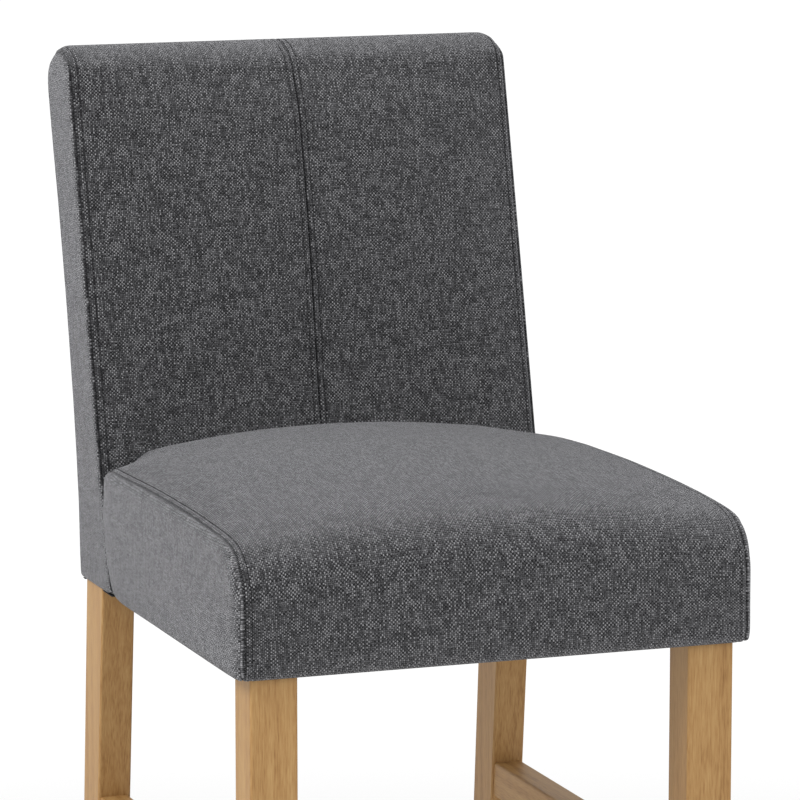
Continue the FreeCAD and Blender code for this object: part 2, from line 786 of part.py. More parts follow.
seat_outer = seat_middle("seat_outer", ZERO)
seat_inner = seat_middle("seat_inner", cloth)
all_x = (-REACH, REACH)
all_y = (-REACH, REACH)
above_deck = (deck_top, deck_top + REACH)
beside_frame = (rail_bottom, deck_top)
below = (ZERO, rail_bottom)

keep(zone("seat_foam_block", all_x, all_y, above_deck, seat_inner), "seat_foam")
keep(zone("seat_front_pad", (-rail_outer, rail_outer), (-REACH, leg_front), beside_frame, seat_inner),
     "seat_wadding_front")

rail_slots = {}
for word, side in SIDES:
    near_side = (rail_outer, REACH) if side == RIGHT else (-REACH, -rail_outer)
    leg_x = sorted((leg_inner * side, leg_outer * side), key=lambda length: length.value)
    rail_x = sorted(((rail_inner - fit) * side, (rail_outer + fit) * side), key=lambda length: length.value)
    side_outer = seat_side("seat_side_outer_" + word, side, ZERO)
    side_inner = seat_side("seat_side_inner_" + word, side, cloth)
    keep(cut_away("seat_side_panel_" + word, side_outer, [side_inner]), "seat_cover_" + word)
    pad = zone("seat_side_pad_" + word, near_side, all_y, beside_frame, seat_inner)
    leg_room = box("leg_room_" + word, leg_x, (leg_front, leg_rear), beside_frame)
    pad = cut_away("seat_side_pad_cut_" + word, pad, [leg_room])
    keep(combine("Fuse", "seat_side_wadding_" + word, pad, side_inner), "seat_wadding_" + word)
    rail_slots[side] = box("rail_slot_" + word, rail_x,
                           (rear_rail_rear - size("rail_thickness"), post_rear),
                           (underside - size("back_drop") * 2, rail_top + fit))

leg_notches = []
for word, side in SIDES:
    notch_x = sorted(((leg_inner - fit) * side, (leg_outer + fit) * side), key=lambda length: length.value)
    leg_notches.append(box("leg_notch_" + word, notch_x, (leg_front - fit, leg_rear + fit), below))

# The cover is turned in under the rails, and the dust cover fills the opening that it leaves
open_x = half_seat - size("seat_hem")
hem_opening = box("hem_opening", (-open_x, open_x), (size("seat_hem"), rear_rail_middle), below)
sheet_x = open_x - room
dust_sheet = box("seat_dust_sheet", (-sheet_x, sheet_x),
                 (size("seat_hem") + room, rear_rail_middle - room),
                 (rail_bottom - size("dust_cover_thickness"), rail_bottom))
keep(cut_away("seat_dust_sheet_cut", dust_sheet, leg_notches), "seat_dust_cover")

seat_top_cuts = [seat_inner, hem_opening] + leg_notches + list(rail_slots.values())
keep(cut_away("seat_top_panel", seat_outer, seat_top_cuts), "seat_cover_top")
all_z = (ZERO, REACH * 2)


# Back upholstery: the side view and the front view, each with its rounded corners, taken in common
def back_form(name, inset):
    top = size("back_height") - inset
    foot = -size("back_drop") - inset

    def rear(height, thickness):
        return back_face(height, ZERO) + thickness - inset / level

    side_view = [
        (back_face(foot, inset), underside + foot),
        (rear(ZERO, size("back_foot_thickness")), underside + foot),
        (rear(top, size("back_top_thickness")), underside + top),
        (back_face(top, inset), underside + top),
    ]
    waist_height = size("back_waist_height")
    waist = (rear(waist_height, size("back_waist_thickness")), underside + waist_height)
    profile = slab(name + "_profile", side_view, ZERO, REACH, {1: waist})

    def is_cross_edge(edge, height):
        return near(edge_middle(edge).z, underside + height) and edge.BoundBox.XLength > half_back.value

    def is_top(edge):
        return is_cross_edge(edge, top)

    def is_rear_foot(edge):
        return is_cross_edge(edge, foot) and near(edge_middle(edge).y, side_view[1][0])

    round_edges(profile, is_top, size("back_top_round") - inset)
    round_edges(profile, is_rear_foot, size("back_foot_round") - inset)
    front_view = new_body(name + "_front_view")
    half_width = half_back - inset
    corners = rectangle(-half_width, half_width, underside + foot * 2, underside + top)
    add_pad(front_view, outline(front_view, "XZ_Plane", -size("back_setback"), corners), REACH)

    def is_top_corner(edge):
        middle = edge_middle(edge)
        return near(middle.z, underside + top) and near(abs(middle.x), half_width)

    round_edges(front_view, is_top_corner, size("back_corner_round") - inset)
    return combine("Common", name, profile, front_view)


def slice_of(name, form, side_view):
    """The part of a form that lies in a side view's outline."""
    return combine("Common", name, form, slab(name + "_zone", side_view, ZERO, REACH))


back_outer = back_form("back_outer", ZERO)
back_inner = back_form("back_inner", cloth)
over_top = size("back_height") * 1.2
in_front = -size("back_top_thickness")
sheet_low = size("dust_cover_thickness") - size("back_drop")
foam_view = [(back_face(sheet_low, in_front), underside + sheet_low),
             (back_face(sheet_low, board_front), underside + sheet_low),
             (back_face(over_top, board_front), underside + over_top),
             (back_face(over_top, in_front), underside + over_top)]
foam_pad = slice_of("back_foam_pad", back_inner, foam_view)
keep(cut_away("back_foam_pad_cut", foam_pad, list(rail_slots.values())), "back_foam")


def upper_post_rear(height):
    """Y of a post's rear face inside the back, at a height above the seat's underside."""
    return back_face(height, frame_depth) + size("post_top_depth")


far_rear = post_rear + half_seat
wadding_view = [(upper_post_rear(sheet_low), underside + sheet_low),
                (far_rear, underside + sheet_low),
                (far_rear, underside + over_top),
                (back_face(over_top, board_front), underside + over_top),
                (back_face(post_top, board_front), underside + post_top),
                (upper_post_rear(post_top), underside + post_top)]
wadding = slice_of("back_rear_pad", back_inner, wadding_view)
keep(cut_away("back_rear_pad_cut", wadding, list(posts.values())), "back_wadding")

back_sheet = zone("back_dust_sheet", all_x, all_y,
                  (underside - size("back_drop"), underside + sheet_low), back_inner)
keep(cut_away("back_dust_sheet_cut", back_sheet, list(posts.values())), "back_dust_cover")

seam_floor = back_form("back_seam_floor", size("seam_depth"))
half_seam = size("seam_width") / 2
seam_channel = zone("back_seam_channel", (-half_seam, half_seam), all_y, all_z,
                    combine("Cut", "back_seam_skin", back_outer, seam_floor))
back_shell = cut_away("back_shell", back_outer,
                      [back_inner, seam_channel] + list(rail_slots.values()))
back_seam_x = half_back - size("seam_inset")
keep(zone("back_left_half", (-back_seam_x, ZERO), all_y, all_z, back_shell), "back_cover_left")
keep(zone("back_right_half", (ZERO, back_seam_x), all_y, all_z, back_shell), "back_cover_right")
keep(zone("back_left_panel", (-REACH, -back_seam_x), all_y, all_z, back_shell), "back_side_panel_left")
keep(zone("back_right_panel", (back_seam_x, REACH), all_y, all_z, back_shell), "back_side_panel_right")


def check_document():
    for obj in doc.Objects:
        if "Invalid" in obj.State or "Error" in obj.State:
            raise RuntimeError("%s failed: %s" % (obj.Label, obj.State))
    for node in nodes:
        if node.Shape.isNull() or not node.Shape.isValid():
            raise RuntimeError("%s has no valid shape" % node.Label)


doc.recompute()
check_document()
os.makedirs("parts", exist_ok=True)
whole = Part.makeCompound([node.Shape for node in nodes])
for node in nodes:
    node.Shape.exportStep("parts/%s.step" % node.Label)
print(len(nodes), "nodes written, in a box", whole.BoundBox)
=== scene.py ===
# %% [markdown]
# # Dressing a bar stool
# The stool has square oak legs, a thick seat and a raked back, both covered in heathered grey cloth.
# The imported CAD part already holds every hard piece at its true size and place, so it is loaded first
# and never moved. This lesson adds what CAD leaves plain: padding, seams, stitching, cloth and grain.

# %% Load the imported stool
import math

import bmesh
import bpy
import numpy as np
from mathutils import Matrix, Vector


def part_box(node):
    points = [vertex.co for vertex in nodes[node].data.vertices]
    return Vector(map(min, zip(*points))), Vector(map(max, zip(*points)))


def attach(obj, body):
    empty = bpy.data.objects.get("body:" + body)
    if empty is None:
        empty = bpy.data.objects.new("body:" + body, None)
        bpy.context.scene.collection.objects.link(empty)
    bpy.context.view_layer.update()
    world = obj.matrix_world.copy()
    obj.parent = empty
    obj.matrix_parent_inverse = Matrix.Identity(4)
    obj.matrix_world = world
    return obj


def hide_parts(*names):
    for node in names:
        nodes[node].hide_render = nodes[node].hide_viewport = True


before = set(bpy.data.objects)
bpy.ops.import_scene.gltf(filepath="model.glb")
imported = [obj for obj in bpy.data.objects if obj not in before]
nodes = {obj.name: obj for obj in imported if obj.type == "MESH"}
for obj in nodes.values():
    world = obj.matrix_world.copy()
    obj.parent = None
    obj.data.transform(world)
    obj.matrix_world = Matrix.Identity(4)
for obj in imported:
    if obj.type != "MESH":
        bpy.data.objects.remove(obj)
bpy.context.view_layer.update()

# %% [markdown]
# ## The camera
# A product photo like this is taken from far away with a long lens, so upright edges stay almost parallel.
# The lens and the place below were worked out from the straight edges of the seat, the back and the legs.
# A camera could also be aimed with a Track To constraint, but plain angles keep the fit exact.

# %% Place the camera
PHOTO_LENS = 216.5
PHOTO_PLACE = (-1.37619, -3.81945, 1.45215)
PHOTO_TILT = math.radians(80.556)
PHOTO_TURN = math.radians(-20.09)

bpy.ops.object.camera_add(location=PHOTO_PLACE, rotation=(PHOTO_TILT, 0.0, PHOTO_TURN))
camera = bpy.context.object
camera.name = "photo_camera"
camera.data.lens = PHOTO_LENS
camera.data.sensor_width = 36.0
camera.data.clip_end = 200.0
bpy.context.scene.camera = camera
bpy.context.scene.view_settings.view_transform = "Standard"
print("camera", round(camera.location.length, 2), "m from the origin")

# %% [markdown]
# ## Small helpers for materials
# Procedural materials are chains of small nodes. In the shader editor each node is added and wired by hand.
# In code a few helpers keep the same chains readable: they link or set a socket, and add a Math node, a
# noise, a colour ramp or a bump.

# %% Node helpers
def new_material(name):
    """A material with its node tree and its shader."""
    material = bpy.data.materials.new(name)
    material.use_nodes = True
    return material, material.node_tree, material.node_tree.nodes["Principled BSDF"]


def put(tree, socket, value):
    """Links an output to a socket, or sets the socket to a plain value."""
    if isinstance(value, bpy.types.NodeSocket):
        tree.links.new(value, socket)
    else:
        socket.default_value = value


def maths(tree, operation, *values):
    """The result of a Math node."""
    node = tree.nodes.new("ShaderNodeMath")
    node.operation = operation
    for socket, value in zip(node.inputs, values):
        put(tree, socket, value)
    return node.outputs[0]


def object_place(tree):
    """Coordinates in metres that stay with the piece."""
    return tree.nodes.new("ShaderNodeTexCoord").outputs["Object"]


def join(tree, x, y, z=0.0):
    """Three numbers as one vector."""
    node = tree.nodes.new("ShaderNodeCombineXYZ")
    for socket, value in zip(node.inputs, (x, y, z)):
        put(tree, socket, value)
    return node.outputs[0]


def noise(tree, place, scale, detail=2.0):
    """A soft random pattern between 0 and 1, about so many grains to a metre."""
    node = tree.nodes.new("ShaderNodeTexNoise")
    put(tree, node.inputs["Vector"], place)
    node.inputs["Scale"].default_value = scale
    node.inputs["Detail"].default_value = detail
    return node.outputs[0]


def ramp(tree, amount, stops):
    """Colours picked by an amount between 0 and 1."""
    node = tree.nodes.new("ShaderNodeValToRGB")
    put(tree, node.inputs[0], amount)
    elements = node.color_ramp.elements
    while len(elements) < len(stops):
        elements.new(0.5)
    for element, (position, colour) in zip(elements, stops):
        element.position = position
        element.color = (*colour, 1.0)
    return node.outputs[0]


def bump(tree, shader, height, depth):
    """Raises the surface by a height between 0 and 1, times a depth in metres."""
    node = tree.nodes.new("ShaderNodeBump")
    node.inputs["Distance"].default_value = depth
    put(tree, node.inputs["Height"], height)
    tree.links.new(node.outputs[0], shader.inputs["Normal"])


print("node helpers ready")

# %% [markdown]
# ## Floor
# The photo has a plain white ground. Turning the lamps up until the floor burns out would also burn out
# the stool, so the floor glows white only for the camera and for mirror-like rays. Near the stool it stays
# a pale matt floor, which keeps the shadow, and it fades into the glow further away.

# %% Lay the floor
FLOOR_GLOW = 0.88
GLOW_STRENGTH = 1.10
SHADOW_REACH = (0.7, 2.4)


def sees_stage(tree):
    """1 for camera, mirror and glass rays, 0 for the rays that light the stool."""
    path = tree.nodes.new("ShaderNodeLightPath")
    shiny = maths(tree, "MAXIMUM", path.outputs["Is Glossy Ray"], path.outputs["Is Transmission Ray"])
    return maths(tree, "MAXIMUM", path.outputs["Is Camera Ray"], shiny)


bpy.ops.object.select_all(action="DESELECT")
bpy.ops.mesh.primitive_plane_add(size=60.0)
floor = bpy.context.object
floor.name = "studio_floor"
floor_material, tree, shader = new_material("studio_floor")
shader.inputs["Base Color"].default_value = (0.86, 0.86, 0.86, 1.0)
shader.inputs["Roughness"].default_value = 0.9
away = tree.nodes.new("ShaderNodeVectorMath")
away.operation = "LENGTH"
tree.links.new(object_place(tree), away.inputs[0])
fade = tree.nodes.new("ShaderNodeMapRange")
fade.interpolation_type = "SMOOTHSTEP"
tree.links.new(away.outputs["Value"], fade.inputs["Value"])
fade.inputs["From Min"].default_value, fade.inputs["From Max"].default_value = SHADOW_REACH
glow = tree.nodes.new("ShaderNodeEmission")
glow.inputs["Strength"].default_value = GLOW_STRENGTH
mixed = tree.nodes.new("ShaderNodeMixShader")
far_glow = maths(tree, "MULTIPLY", fade.outputs["Result"], FLOOR_GLOW)
put(tree, mixed.inputs[0], maths(tree, "MULTIPLY", sees_stage(tree), far_glow))
tree.links.new(shader.outputs[0], mixed.inputs[1])
tree.links.new(glow.outputs[0], mixed.inputs[2])
tree.links.new(mixed.outputs[0], tree.nodes["Material Output"].inputs["Surface"])
floor.data.materials.append(floor_material)
print("floor laid:", floor.name)

# %% [markdown]
# ## Sky
# A grey sky lights the stool softly from all sides, as the walls of a studio do. The camera sees it white,
# so that it joins the floor without a line.

# %% Fill the sky
SKY_STRENGTH = 0.72
SKY_SEEN = 1.02

world = bpy.data.worlds.new("studio_sky")
bpy.context.scene.world = world
world.use_nodes = True
tree = world.node_tree
seen = sees_stage(tree)
strength = maths(tree, "MULTIPLY_ADD", seen, SKY_SEEN - SKY_STRENGTH, SKY_STRENGTH)
put(tree, tree.nodes["Background"].inputs["Color"], (1.0, 1.0, 1.0, 1.0))
put(tree, tree.nodes["Background"].inputs["Strength"], strength)
print("sky filled at", SKY_STRENGTH)

# %% [markdown]
# ## Lamps
# A studio has a main lamp and a fill. Here the main lamp hangs high on the left, for the bright seat and
# the pale left sides, and a larger, weaker one stands in front. Sun lamps would give hard shadows, so both
# are square area lamps.

# %% Hang the lamps
SEAT_MIDDLE = (0.0, 0.0, 0.7)


def add_lamp(name, place, target, side, power):
    """A square soft lamp that faces a point."""
    bpy.ops.object.light_add(type="AREA", location=place)
    lamp = bpy.context.object
    lamp.name = name
    lamp.data.size = side
    lamp.data.energy = power
    aim = Vector(target) - lamp.location
    lamp.rotation_euler = aim.to_track_quat("-Z", "Y").to_euler()


add_lamp("key_lamp", (-2.6, -0.7, 3.3), SEAT_MIDDLE, 1.4, 80.0)
add_lamp("front_lamp", (0.4, -3.4, 2.6), SEAT_MIDDLE, 2.0, 31.0)
print("two lamps aimed at", SEAT_MIDDLE)

# %% [markdown]
# ## Sizes that the soft pieces share
# The padding has to sit where the CAD solids sit, so its corners are read from the CAD boxes. Only what
# a box can't tell is written here: the lean of the back and the places of the seams.

# %% Read the seat and the back from the CAD
BACK_LEAN = math.tan(math.radians(13.9))
BACK_SETBACK = 0.4135
SEAT_SEAM_INSET = 0.004
BACK_SEAM_INSET = 0.0015
STITCH_INSET = 0.0055

seat_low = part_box("seat_cover_top")[0]
back_low, back_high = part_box("back_cover_left")
half_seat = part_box("seat_cover_right")[1].x
half_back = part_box("back_side_panel_right")[1].x
seat_seam_x = half_seat - SEAT_SEAM_INSET
back_seam_x = half_back - BACK_SEAM_INSET
underside = seat_low.z
seat_front = seat_low.y


def back_front(z):
    """Y of the plane that the back's front face leans on, at a height."""
    return seat_front + BACK_SETBACK + (z - underside) * BACK_LEAN


print("seat from", [round(v, 4) for v in seat_low], "back from", [round(v, 4) for v in back_low])

# %% [markdown]
# ## Helpers for padding
# Padding starts as a box whose edges are bevelled as by hand. A voxel remesh then turns it into an even
# net of small faces, which a cloth simulation can blow up. The helpers read and move that net's points.

# %% Padding helpers
VOXEL = 0.005


def points_of(piece):
    """The piece's points, one row each."""
    flat = np.empty(len(piece.data.vertices) * 3, dtype=np.float32)
    piece.data.vertices.foreach_get("co", flat)
    return flat.reshape(-1, 3).astype(float)


def normals_of(piece):
    """The way out of the surface at each point."""
    flat = np.empty(len(piece.data.vertices) * 3, dtype=np.float32)
    piece.data.vertex_normals.foreach_get("vector", flat)
    return flat.reshape(-1, 3).astype(float)


def set_points(piece, points):
    piece.data.vertices.foreach_set("co", points.astype(np.float32).ravel())
    piece.data.update()


def start_box(name, low, high):
    """A new box from corner to corner, open in edit mode."""
    bpy.ops.object.select_all(action="DESELECT")
    middle = [(a + b) / 2 for a, b in zip(low, high)]
    size = [b - a for a, b in zip(low, high)]
    bpy.ops.mesh.primitive_cube_add(size=1.0, location=middle, scale=size)
    piece = bpy.context.object
    piece.name = name
    piece.data.name = name
    bpy.ops.object.transform_apply(location=True, rotation=True, scale=True)
    bpy.ops.object.mode_set(mode="EDIT")
    bpy.ops.mesh.select_mode(type="EDGE")
    return piece


def select_edges(piece, wanted):
    """Selects the edges whose middle and direction pass a test."""
    bpy.ops.mesh.select_all(action="DESELECT")
    shape = bmesh.from_edit_mesh(piece.data)
    for edge in shape.edges:
        start, end = (corner.co for corner in edge.verts)
        edge.select_set(wanted((start + end) / 2, (end - start).normalized()))
    bmesh.update_edit_mesh(piece.data)


def round_edges(piece, wanted, radius, segments):
    select_edges(piece, wanted)
    bpy.ops.mesh.bevel(offset=radius, segments=segments, affect="EDGES")


def apply_modifier(piece, kind, **settings):
    """Adds a modifier, sets it and applies it."""
    modifier = piece.modifiers.new(kind.lower(), kind)
    for name, value in settings.items():
        setattr(modifier, name, value)
    bpy.context.view_layer.objects.active = piece
    bpy.ops.object.modifier_apply(modifier=modifier.name)


def even_net(piece):
    """Leaves edit mode and replaces the box's faces by an even net."""
    bpy.ops.object.mode_set(mode="OBJECT")
    apply_modifier(piece, "REMESH", mode="VOXEL", voxel_size=VOXEL)
    apply_modifier(piece, "SMOOTH", factor=0.3, iterations=1)


def ease(amount):
    """A share between 0 and 1 that starts and ends softly."""
    share = np.clip(amount, 0.0, 1.0)
    return share * share * (3.0 - 2.0 * share)


print("padding helpers ready")

# %% [markdown]
# ## The seat's padding
# On the real stool a block of foam sits on a plywood deck, wadding wraps its front and sides, and the
# cover pulls all of it tight. The form is therefore a box with a rolled front edge, softer sides and a
# crown that is fullest behind the middle. Three bevels give the box its edges. Moves of the net's points
# round the front corners, raise the crown and let the rear corners fall towards the back, because forms
# that change from front to back have no operator of their own.

# %% Shape the seat
SIDE_FULLNESS = 0.0040
FRONT_SWELL = 0.0005
FOOT_DROP = 0.0025
SIDE_HEIGHT = 0.1092
FULLEST = 0.240
REAR_RUN = 0.200
FRONT_FALL = 0.0105
REAR_FALL = 0.0072
CROWN = 0.0238
CROWN_FRONT_FALL = 0.0113
CROWN_REAR_FALL = 0.0053
FRONT_ROLL = 0.042
SIDE_ROLL = 0.008
FRONT_CORNER = 0.008
REAR_SIDE_LENGTH = 0.075
REAR_SIDE_DROP = 0.046
REAR_SIDE_WIDTH = 0.060
FOOT_ROLL = 0.006

side_x = half_seat + SIDE_FULLNESS
pad_front = seat_front + FRONT_SWELL
pad_top = underside + SIDE_HEIGHT
pad_foot = underside - FOOT_DROP
seat_pad = start_box("seat_pad", (-side_x, pad_front, pad_foot), (side_x, back_front(pad_foot), pad_top))
select_edges(seat_pad, lambda middle, way: middle.y > 0 and middle.z > pad_top - 0.001 and abs(way.x) > 0.9)
bpy.ops.transform.translate(value=(0.0, (pad_top - pad_foot) * BACK_LEAN, 0.0))
round_edges(seat_pad, lambda middle, way: middle.y < 0 and middle.z > pad_top - 0.001 and abs(way.x) > 0.9,
            FRONT_ROLL, 8)
round_edges(seat_pad, lambda middle, way: abs(middle.x) > side_x - 0.001 and middle.z > pad_foot + 0.001,
            SIDE_ROLL, 5)
round_edges(seat_pad, lambda middle, way: middle.z < pad_foot + 0.0001
            and middle.y < back_front(pad_foot) - 0.001, FOOT_ROLL, 3)
even_net(seat_pad)


def seat_rise(points):
    """How far the crown lifts each point of the plain box, and how far that point is to the rear."""
    depth = points[:, 1] - seat_front
    ahead = np.clip((FULLEST - depth) / FULLEST, 0.0, 1.0)
    behind = np.clip((depth - FULLEST) / REAR_RUN, 0.0, 1.0)
    side_rise = -FRONT_FALL * ahead**3 - REAR_FALL * behind**1.5
    crown_rise = CROWN - CROWN_FRONT_FALL * ahead**2 - CROWN_REAR_FALL * behind**2
    across = np.clip(1.0 - (points[:, 0] / seat_seam_x) ** 2, 0.0, 1.0)
    lift = ease((points[:, 2] - underside - 0.01) / (SIDE_HEIGHT - FRONT_ROLL - 0.01))
    return lift * (side_rise + crown_rise * across), behind


def corner_arc(points, half_width, radius):
    """How far a round corner stands back from a square one, at each point's place across."""
    beyond = np.clip(np.abs(points[:, 0]) - (half_width - radius), 0.0, radius)
    return radius - np.sqrt(radius**2 - beyond**2)


points = points_of(seat_pad)
to_front = points[:, 1] - pad_front
front_arc = corner_arc(points, side_x, FRONT_CORNER)
points[:, 1] += front_arc * ease(1.0 - to_front / (2.5 * FRONT_CORNER))
rise, behind = seat_rise(points)
points[:, 2] += rise
points[:, 1] += rise * BACK_LEAN * behind
to_rear = back_front(points[:, 2]) - points[:, 1]
near_rear = np.clip(1.0 - to_rear / REAR_SIDE_LENGTH, 0.0, 1.0)
rear_drop = REAR_SIDE_DROP * (1.0 - np.sqrt(1.0 - near_rear**2))
at_side = ease((np.abs(points[:, 0]) - side_x + REAR_SIDE_WIDTH) / REAR_SIDE_WIDTH)
at_top = ease((points[:, 2] - underside) / SIDE_HEIGHT)
points[:, 2] -= rear_drop * at_side * at_top
set_points(seat_pad, points)
print("seat net", len(points), "points, top at", round(points[:, 2].max(), 4))

# %% [markdown]
# ## The back's padding
# The back is a slim pad that leans 14 degrees. Its top is a soft roll, its rear thins to a waist and
# spreads again at the foot, and its front is fuller in the middle. It is modelled upright as a box with two
# bevels at the top, a low one in front and a deep one behind. The lean, the waist and the fullness are moves
# of the net's points. So is a small step forward at the foot, which presses into the seat and closes the
# crease.

# %% Shape the back
FRONT_ROLL_DEPTH = 0.0325
FRONT_ROLL_HEIGHT = 0.018
REAR_ROLL = 0.041
TOP_CORNER = 0.012
EDGE_ROLL = 0.006
BACK_FULLNESS = 0.0023
BACK_PLAIN_DEPTH = 0.074
FRONT_FULLNESS = 0.0118
FULLNESS_HEIGHTS = (0.090, 0.330, 0.385, 0.446)
BACK_DROP = 0.003
CREASE_PRESS = 0.004
CREASE_HEIGHT = 0.085
CREASE_FADE = 0.02
DEPTH_HEIGHTS = (-0.010, 0.010, 0.055, 0.099, 0.143, 0.186, 0.230, 0.273, 0.317, 0.360, 0.407, 0.460)
DEPTHS = (0.0930, 0.0898, 0.0806, 0.0753, 0.0719, 0.0703, 0.0690, 0.0694, 0.0702, 0.0726, 0.0740, 0.0740)

back_x = half_back + BACK_FULLNESS
back_foot = back_low.z - BACK_DROP
back_top = back_high.z
back_pad = start_box("back_pad", (-back_x, 0.0, back_foot), (back_x, BACK_PLAIN_DEPTH, back_top))
for side_y, radius in ((0.0, FRONT_ROLL_DEPTH), (BACK_PLAIN_DEPTH, REAR_ROLL)):
    round_edges(back_pad, lambda middle, way: middle.z > back_top - 0.001 and abs(middle.y - side_y) < 0.001
                and abs(way.x) > 0.9, radius, 10)
round_edges(back_pad, lambda middle, way: abs(middle.x) > back_x - 0.001 and middle.z > back_foot + 0.001,
            EDGE_ROLL, 4)
even_net(back_pad)

points = points_of(back_pad)
share = points[:, 1] / BACK_PLAIN_DEPTH
plain_heights = (back_foot, back_top - FRONT_ROLL_DEPTH, back_top)
low_roll = np.interp(points[:, 2], plain_heights, (back_foot, back_top - FRONT_ROLL_HEIGHT, back_top))
points[:, 2] += (low_roll - points[:, 2]) * (1.0 - ease((share - 0.40) / 0.2))
top_arc = corner_arc(points, back_x, TOP_CORNER)
points[:, 2] -= top_arc * ease(1.0 - (back_top - points[:, 2]) / (2.5 * TOP_CORNER))
height = points[:, 2] - underside
full_depth = np.interp(height, DEPTH_HEIGHTS, DEPTHS)
foot, fullest, still_full, flat_again = FULLNESS_HEIGHTS
rising = ease((height - foot) / (fullest - foot))
falling = ease((height - still_full) / (flat_again - still_full))
up = rising * (1.0 - falling)
across = np.clip(1.0 - (points[:, 0] / half_back) ** 2, 0.0, 1.0)
pressed = CREASE_PRESS * ease((CREASE_HEIGHT - height) / CREASE_FADE)
fullness = (FRONT_FULLNESS * up * across + pressed) * (1.0 - ease(share))
points[:, 1] = back_front(points[:, 2]) + share * full_depth - fullness
set_points(back_pad, points)
print("back net", len(points), "points, from", points.min(0).round(3), "to", points.max(0).round(3))

# %% [markdown]
# ## Blowing the padding up
# Cloth under a little pressure from inside takes the soft, even bulge that real padding has. Gravity is
# off, the points that are tacked to the frame are held, and no point may move further than a cap, so the
# pads stay close to the sizes of the CAD. A few millimetres are enough for a tight cover like this one. A
# sculpted bulge would do too, but it would have to be drawn again after each change of size.

# %% Simulate the covers
SWELL_CAP = 0.003
PRESSURE = 4.0
LAST_FRAME = 20
SOFTEN_ROUNDS = 12
TACK_WIDTH = 0.006
SIDE_HELD = 0.002


def soften(piece, amounts, rounds):
    """Evens out an amount over neighbouring points."""
    ends = np.empty(len(piece.data.edges) * 2, dtype=np.int32)
    piece.data.edges.foreach_get("vertices", ends)
    one, other = ends.reshape(-1, 2).T
    count = len(amounts)
    neighbours = np.bincount(one, minlength=count) + np.bincount(other, minlength=count)
    for _ in range(rounds):
        around = np.bincount(one, weights=amounts[other], minlength=count)
        around += np.bincount(other, weights=amounts[one], minlength=count)
        amounts = (amounts + around / neighbours) / 2.0
    return amounts


def inflate(piece, held):
    """Blows a pad up by at most the cap, with the held points kept still."""
    before = points_of(piece)
    outward = normals_of(piece)
    group = piece.vertex_groups.new(name="tacked")
    group.add(np.flatnonzero(held).tolist(), 1.0, "REPLACE")
    cloth = piece.modifiers.new("inflate", "CLOTH")
    cloth.settings.use_pressure = True
    cloth.settings.uniform_pressure_force = PRESSURE
    cloth.settings.effector_weights.gravity = 0.0
    cloth.settings.vertex_group_mass = group.name
    cloth.point_cache.frame_end = LAST_FRAME
    for number in range(1, LAST_FRAME + 1):
        bpy.context.scene.frame_set(number)
    bpy.context.view_layer.objects.active = piece
    bpy.ops.object.modifier_apply(modifier=cloth.name)
    bpy.context.scene.frame_set(1)
    piece.vertex_groups.clear()
    moved = np.sum((points_of(piece) - before) * outward, axis=1)
    swell = soften(piece, np.clip(moved, 0.0, SWELL_CAP), SOFTEN_ROUNDS)
    set_points(piece, before + outward * swell[:, None])
    print(piece.name, "swelled by", round(float(swell.mean()) * 1000, 2), "mm on average")


points = points_of(seat_pad)
at_crease = points[:, 1] > back_front(points[:, 2]) - TACK_WIDTH
inflate(seat_pad, (points[:, 2] < pad_foot + TACK_WIDTH) | at_crease)
points = points_of(back_pad)
at_sides = np.abs(points[:, 0]) > back_x - SIDE_HELD
inflate(back_pad, (points[:, 2] < back_foot + TACK_WIDTH) | at_sides)
for pad in (seat_pad, back_pad):
    apply_modifier(pad, "SUBSURF", levels=1, render_levels=1)
    print(pad.name, len(pad.data.polygons), "faces")

# %% [markdown]
# ## Seams and topstitching
# Each cover is sewn from panels. Where two panels meet, the cloth dips into a narrow valley, and a row of
# topstitching beside it presses a shallow line into the padding. All these lines lie in upright planes, so
# a few bisect cuts beside each line give the net the edges it needs, and the points near it are pressed in.

# %% Press in the seams
SEAM_HALF = 0.0019
SEAM_DEPTH = 0.0017
ROW_HALF = 0.0015
ROW_DEPTH = 0.0005
SNAP = 0.00025


def cut_net(piece, places):
    """Cuts the net by upright planes at these X places."""
    points = points_of(piece)
    for x in places:
        close = np.abs(points[:, 0] - x) < SNAP
        points[close, 0] = x
    set_points(piece, points)
    bpy.ops.object.select_all(action="DESELECT")
    bpy.context.view_layer.objects.active = piece
    bpy.ops.object.mode_set(mode="EDIT")
    for x in places:
        bpy.ops.mesh.select_all(action="SELECT")
        bpy.ops.mesh.bisect(plane_co=(x, 0.0, 0.0), plane_no=(1.0, 0.0, 0.0))
    bpy.ops.object.mode_set(mode="OBJECT")


def press_lines(piece, seams, rows):
    """Presses seams and topstitch rows into a pad, and notes how deep each point lies in a seam."""
    cuts = [x + SEAM_HALF * part for x in seams for part in (-1.0, -0.4, 0.0, 0.4, 1.0)]
    cuts += [x + ROW_HALF * part for x in rows for part in (-1.0, 0.0, 1.0)]
    cut_net(piece, cuts)
    points = points_of(piece)
    sunk = np.zeros(len(points))
    seam_share = np.zeros(len(points))
    for lines, half, line_depth in ((seams, SEAM_HALF, SEAM_DEPTH), (rows, ROW_HALF, ROW_DEPTH)):
        for x in lines:
            share = np.clip(1.0 - np.abs(points[:, 0] - x) / half, 0.0, 1.0)
            sunk = np.maximum(sunk, line_depth * share)
            seam_share = np.maximum(seam_share, share * line_depth / SEAM_DEPTH)
    inward = -normals_of(piece)
    inward[:, 0] = 0.0
    set_points(piece, points + inward * sunk[:, None])
    # The cloth reads this share to darken the seams and rows in its colour: painted shade.
    attribute = piece.data.attributes.new("seam", "FLOAT", "POINT")
    attribute.data.foreach_set("value", seam_share.astype(np.float32))
    piece.data.polygons.foreach_set("use_smooth", [True] * len(piece.data.polygons))
    print(piece.name, len(seams), "seams and", len(rows), "rows pressed in")


